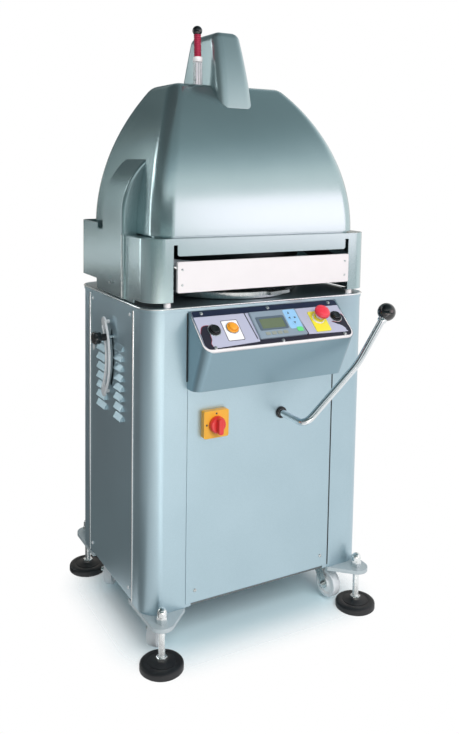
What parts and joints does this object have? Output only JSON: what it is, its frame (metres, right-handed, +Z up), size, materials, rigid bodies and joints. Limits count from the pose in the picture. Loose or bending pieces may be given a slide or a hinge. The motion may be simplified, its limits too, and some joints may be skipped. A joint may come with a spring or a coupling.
{
  "type": "dough divider rounder",
  "caption": "Free-standing bakery machine that presses dough flat, cuts it into equal pieces under a tilting hooded head and rounds them on an orbiting plate.",
  "frame": {"origin": "on the floor, under the middle of the whole machine's box with its levers and feet; the vertical axis of the press and the drive stands 14.9 mm to the right of it and 24.75 mm behind it", "axes": "+X to the operator's right, +Y to the back, +Z up"},
  "size_m": [0.7068, 0.6764, 1.5392],
  "materials": {
    "silver_paint": "satin silver metallic paint",
    "inner_steel": "machined steel",
    "zinc_steel": "bright zinc plate",
    "foot_rubber": "moulded black rubber",
    "wheel_plastic": "white nylon",
    "fascia_sheet": "printed lilac-grey fascia sheet",
    "display_plastic": "grey moulded display frame",
    "yellow_plastic": "yellow moulded plate",
    "red_plastic": "red moulded plastic",
    "black_plastic": "black moulded plastic",
    "white_plastic": "white moulded sheet",
    "amber_lens": "amber lamp lens",
    "chrome_bar": "polished chrome",
    "press_aluminium": "turned food-grade aluminium",
    "knife_steel": "ground stainless steel",
    "grey_paint": "grey machine enamel"
  },
  "bodies": {
    "cabinet": {"base_tray": "inner_steel", "corner_posts": "silver_paint", "front_panel": "silver_paint", "left_side_panel": "silver_paint", "right_side_panel": "silver_paint", "rear_panel": "silver_paint", "cabinet_top": "silver_paint", "foot_brackets": "silver_paint", "foot_dome_nuts": "zinc_steel", "panel_screws": "zinc_steel", "caster_plates": "zinc_steel", "control_box": "silver_paint", "control_fascia": "fascia_sheet", "display_housing": "display_plastic", "estop_plate": "yellow_plastic", "button_bezels": "black_plastic", "main_switch_plate": "yellow_plastic", "lever_bush": "black_plastic", "weight_guide": "chrome_bar", "head_bumpers": "white_plastic", "head_hinge_brackets": "inner_steel", "drive_motor": "grey_paint", "hydraulic_unit": "grey_paint", "cable_gland": "black_plastic"},
    "foot_front_left": {"levelling_foot_front_left": "foot_rubber"},
    "foot_front_right": {"levelling_foot_front_right": "foot_rubber"},
    "foot_rear_left": {"levelling_foot_rear_left": "foot_rubber"},
    "foot_rear_right": {"levelling_foot_rear_right": "foot_rubber"},
    "caster_front_left": {"caster_fork_front_left": "zinc_steel"},
    "wheel_front_left": {"caster_wheel_front_left": "wheel_plastic"},
    "caster_front_right": {"caster_fork_front_right": "zinc_steel"},
    "wheel_front_right": {"caster_wheel_front_right": "wheel_plastic"},
    "caster_rear_left": {"caster_fork_rear_left": "zinc_steel"},
    "wheel_rear_left": {"caster_wheel_rear_left": "wheel_plastic"},
    "caster_rear_right": {"caster_fork_rear_right": "zinc_steel"},
    "wheel_rear_right": {"caster_wheel_rear_right": "wheel_plastic"},
    "button_left": {"two_hand_button_left": "black_plastic"},
    "button_right": {"two_hand_button_right": "black_plastic"},
    "button_lamp": {"lamp_button": "amber_lens"},
    "estop": {"estop_mushroom": "red_plastic"},
    "switch_knob": {"main_switch_knob": "red_plastic"},
    "lever": {"rounding_lever": "chrome_bar", "lever_ball": "black_plastic"},
    "weight_arm": {"weight_lever": "inner_steel"},
    "weight_clamp": {"weight_knob": "black_plastic"},
    "head": {"head_surround": "silver_paint", "hood": "silver_paint", "spine_cover": "silver_paint", "side_fairing": "silver_paint", "press_cylinder": "inner_steel", "dividing_ring": "knife_steel"},
    "flap": {"guard_flap": "white_plastic", "flap_arms": "inner_steel"},
    "press": {"press_plate": "press_aluminium"},
    "knives": {"knife_set": "knife_steel"},
    "control_lever": {"top_lever": "chrome_bar", "top_lever_grip": "red_plastic"},
    "crank": {"eccentric_crank": "inner_steel"},
    "table": {"orbital_table": "press_aluminium"},
    "plate": {"moulding_plate": "press_aluminium"}
  },
  "joints": [
    {"name": "foot_front_left_screw", "type": "slide", "parent": "cabinet", "child": "foot_front_left", "axis": [0, 0, 1], "range_m": [-0.012, 0.004]},
    {"name": "foot_front_right_screw", "type": "slide", "parent": "cabinet", "child": "foot_front_right", "axis": [0, 0, 1], "range_m": [-0.012, 0.004]},
    {"name": "foot_rear_left_screw", "type": "slide", "parent": "cabinet", "child": "foot_rear_left", "axis": [0, 0, 1], "range_m": [-0.012, 0.004]},
    {"name": "foot_rear_right_screw", "type": "slide", "parent": "cabinet", "child": "foot_rear_right", "axis": [0, 0, 1], "range_m": [-0.012, 0.004]},
    {"name": "caster_front_left_swivel", "type": "hinge", "parent": "cabinet", "child": "caster_front_left", "pos_m": [-0.22507, -0.13925, 0.095], "axis": [0, 0, 1], "continuous": true},
    {"name": "wheel_front_left_roll", "type": "hinge", "parent": "caster_front_left", "child": "wheel_front_left", "pos_m": [-0.24882, -0.15918, 0.0475], "axis": [0.6428, -0.766, 0], "continuous": true},
    {"name": "caster_front_right_swivel", "type": "hinge", "parent": "cabinet", "child": "caster_front_right", "pos_m": [0.25493, -0.13925, 0.095], "axis": [0, 0, 1], "continuous": true},
    {"name": "wheel_front_right_roll", "type": "hinge", "parent": "caster_front_right", "child": "wheel_front_right", "pos_m": [0.25816, -0.17008, 0.0475], "axis": [0.9945, 0.1045, 0], "continuous": true},
    {"name": "caster_rear_left_swivel", "type": "hinge", "parent": "cabinet", "child": "caster_rear_left", "pos_m": [-0.22507, 0.18875, 0.095], "axis": [0, 0, 1], "continuous": true},
    {"name": "wheel_rear_left_roll", "type": "hinge", "parent": "caster_rear_left", "child": "wheel_rear_left", "pos_m": [-0.24458, 0.16466, 0.0475], "axis": [0.7771, -0.6293, 0], "continuous": true},
    {"name": "caster_rear_right_swivel", "type": "hinge", "parent": "cabinet", "child": "caster_rear_right", "pos_m": [0.25493, 0.18875, 0.095], "axis": [0, 0, 1], "continuous": true},
    {"name": "wheel_rear_right_roll", "type": "hinge", "parent": "caster_rear_right", "child": "wheel_rear_right", "pos_m": [0.27485, 0.165, 0.0475], "axis": [0.766, 0.6428, 0], "continuous": true},
    {"name": "button_left_press", "type": "slide", "parent": "cabinet", "child": "button_left", "axis": [0, 0.6597, -0.7515], "range_m": [0, 0.004], "stiffness_N_per_m": 500, "springref_m": -0.002},
    {"name": "button_right_press", "type": "slide", "parent": "cabinet", "child": "button_right", "axis": [0, 0.6597, -0.7515], "range_m": [0, 0.004], "stiffness_N_per_m": 500, "springref_m": -0.002},
    {"name": "button_lamp_press", "type": "slide", "parent": "cabinet", "child": "button_lamp", "axis": [0, 0.6597, -0.7515], "range_m": [0, 0.004], "stiffness_N_per_m": 500, "springref_m": -0.002},
    {"name": "estop_latch", "type": "slide", "parent": "cabinet", "child": "estop", "axis": [0, 0.6597, -0.7515], "range_m": [0, 0.005]},
    {"name": "main_switch_turn", "type": "hinge", "parent": "cabinet", "child": "switch_knob", "pos_m": [-0.12607, -0.22525, 0.564], "axis": [0, 1, 0], "range_deg": [0, 90]},
    {"name": "rounding_lever_turn", "type": "hinge", "parent": "cabinet", "child": "lever", "pos_m": [0.06692, -0.21025, 0.562], "axis": [0, 1, 0], "range_deg": [-30, 40]},
    {"name": "weight_lever_swing", "type": "hinge", "parent": "cabinet", "child": "weight_arm", "pos_m": [-0.29207, 0.14875, 0.692], "axis": [1, 0, 0], "range_deg": [-4, 48]},
    {"name": "weight_knob_turn", "type": "hinge", "parent": "weight_arm", "child": "weight_clamp", "pos_m": [-0.33508, 0.01338, 0.74669], "axis": [1, 0, 0], "continuous": true},
    {"name": "head_tilt", "type": "hinge", "parent": "cabinet", "child": "head", "pos_m": [0.01493, 0.21975, 0.873], "axis": [-1, 0, 0], "range_deg": [0, 35]},
    {"name": "guard_flap_lift", "type": "hinge", "parent": "head", "child": "flap", "pos_m": [0.01493, 0.08475, 0.985], "axis": [-1, 0, 0], "range_deg": [0, 10]},
    {"name": "press_down", "type": "slide", "parent": "head", "child": "press", "axis": [0, 0, -1], "range_m": [0, 0.04]},
    {"name": "knives_down", "type": "slide", "parent": "press", "child": "knives", "axis": [0, 0, -1], "range_m": [0, 0.018]},
    {"name": "top_lever_pull", "type": "hinge", "parent": "head", "child": "control_lever", "pos_m": [-0.07107, 0.00375, 1.325], "axis": [-1, 0, 0], "range_deg": [0, 25]},
    {"name": "crank_turn", "type": "hinge", "parent": "cabinet", "child": "crank", "pos_m": [0.01493, 0.02475, 0.82], "axis": [0, 0, 1], "continuous": true},
    {"name": "table_orbit", "type": "hinge", "parent": "crank", "child": "table", "pos_m": [0.01493, 0.01075, 0.845], "axis": [0, 0, 1], "continuous": true},
    {"name": "plate_draw", "type": "slide", "parent": "table", "child": "plate", "axis": [0, -1, 0], "range_m": [0, 0.3]}
  ],
  "couplings": [
    {"joint": "table_orbit", "follows": "crank_turn", "ratio": -1}
  ]
}
